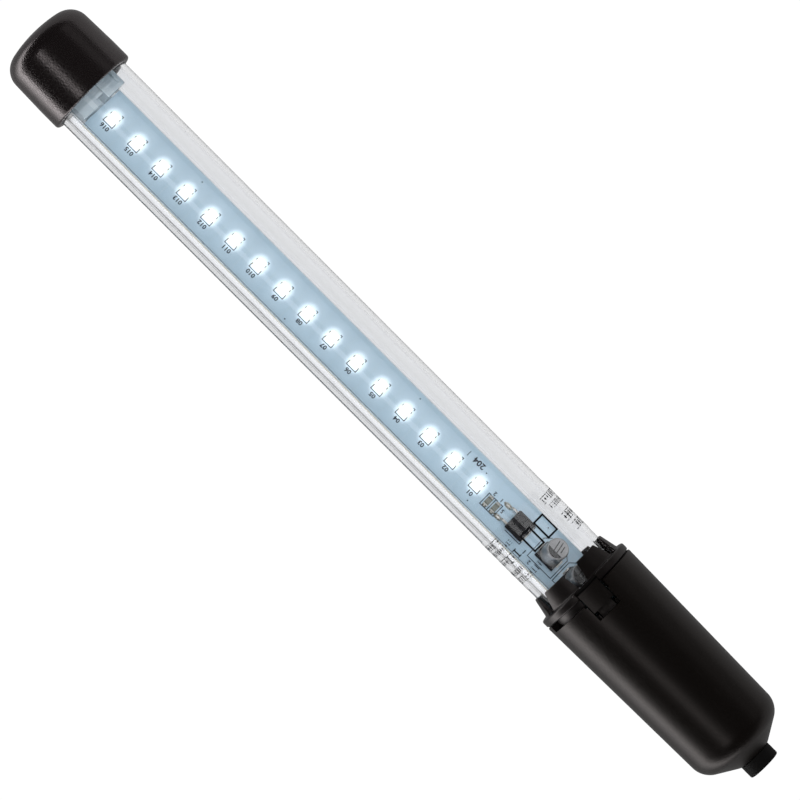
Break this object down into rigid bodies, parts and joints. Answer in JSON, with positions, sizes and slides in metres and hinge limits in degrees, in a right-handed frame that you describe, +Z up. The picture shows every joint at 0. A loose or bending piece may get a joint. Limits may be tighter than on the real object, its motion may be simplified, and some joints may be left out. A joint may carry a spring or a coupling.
{
  "type": "led light tube",
  "caption": "Slim hand-held LED light tube with a clear barrel, a lit board inside, a black end cap and a black handle with a cord gland.",
  "frame": {"origin": "bottom centre of the box of the lamp, which lies on its side with the latch tongue up; the lamp's axis is 15.6 mm above it", "axes": "+X along the lamp from the end cap to the cord gland, +Z up through the latch tongue"},
  "size_m": [0.285, 0.0312, 0.0311],
  "materials": {
    "handle": "satin moulded",
    "gland": "smooth rubber",
    "collar": "satin moulded",
    "seal": "smooth",
    "gasket": "smooth",
    "clear_tube": "clear polycarbonate",
    "label_film": "clear printed film",
    "clear_holder": "frosted clear",
    "solder_mask": "satin solder mask",
    "led_case": "white",
    "led_glow": "lit",
    "resistor_black": "satin",
    "tinned": "tinned",
    "epoxy": "moulded epoxy",
    "tinned_leads": "tinned",
    "can_aluminium": "bright rolled",
    "base_black": "moulded",
    "tinned_feet": "tinned",
    "epoxy_bridge": "moulded epoxy",
    "tinned_bridge": "tinned",
    "fuse_ceramic": "matt white",
    "tinned_fuse": "tinned",
    "terminal_green": "moulded",
    "clamp_brass": "nickel-washed brass",
    "screw_steel": "zinc plated",
    "carrier": "moulded",
    "clamp_bar": "moulded",
    "clamp_screw_steel": "zinc plated",
    "tongue": "satin moulded",
    "cap": "fine leather grain",
    "cap_ring": "smooth"
  },
  "bodies": {
    "handle": {"handle_shell": "handle", "cable_gland": "gland"},
    "latch": {"latch_tongue": "tongue"},
    "cap": {"end_cap": "cap", "cap_seal": "cap_ring"},
    "head": {"collar": "collar", "collar_seal": "seal", "tube_gasket": "gasket", "light_tube": "clear_tube", "rating_label": "label_film", "board_holder": "clear_holder", "led_board": "solder_mask", "led_packages": "led_case", "led_emitters": "led_glow", "chip_resistors": "resistor_black", "resistor_ends": "tinned", "driver_body": "epoxy", "driver_leads": "tinned_leads", "capacitor_cans": "can_aluminium", "capacitor_bases": "base_black", "capacitor_feet": "tinned_feet", "bridge_body": "epoxy_bridge", "bridge_leads": "tinned_bridge", "fuse_body": "fuse_ceramic", "fuse_ends": "tinned_fuse", "terminal_block": "terminal_green", "terminal_clamps": "clamp_brass", "terminal_screws": "screw_steel", "wiring_carrier": "carrier", "cord_clamp": "clamp_bar", "clamp_screws": "clamp_screw_steel"}
  },
  "joints": [
    {"name": "head_pull", "type": "slide", "parent": "handle", "child": "head", "axis": [-1, 0, 0], "range_m": [0, 0.05]},
    {"name": "cap_pull", "type": "slide", "parent": "head", "child": "cap", "axis": [-1, 0, 0], "range_m": [0, 0.018]},
    {"name": "latch_press", "type": "hinge", "parent": "head", "child": "latch", "pos_m": [0.0844, 0, 0.0281], "axis": [0, -1, 0], "range_deg": [0, 7], "stiffness_Nm_per_rad": 0.3}
  ]
}
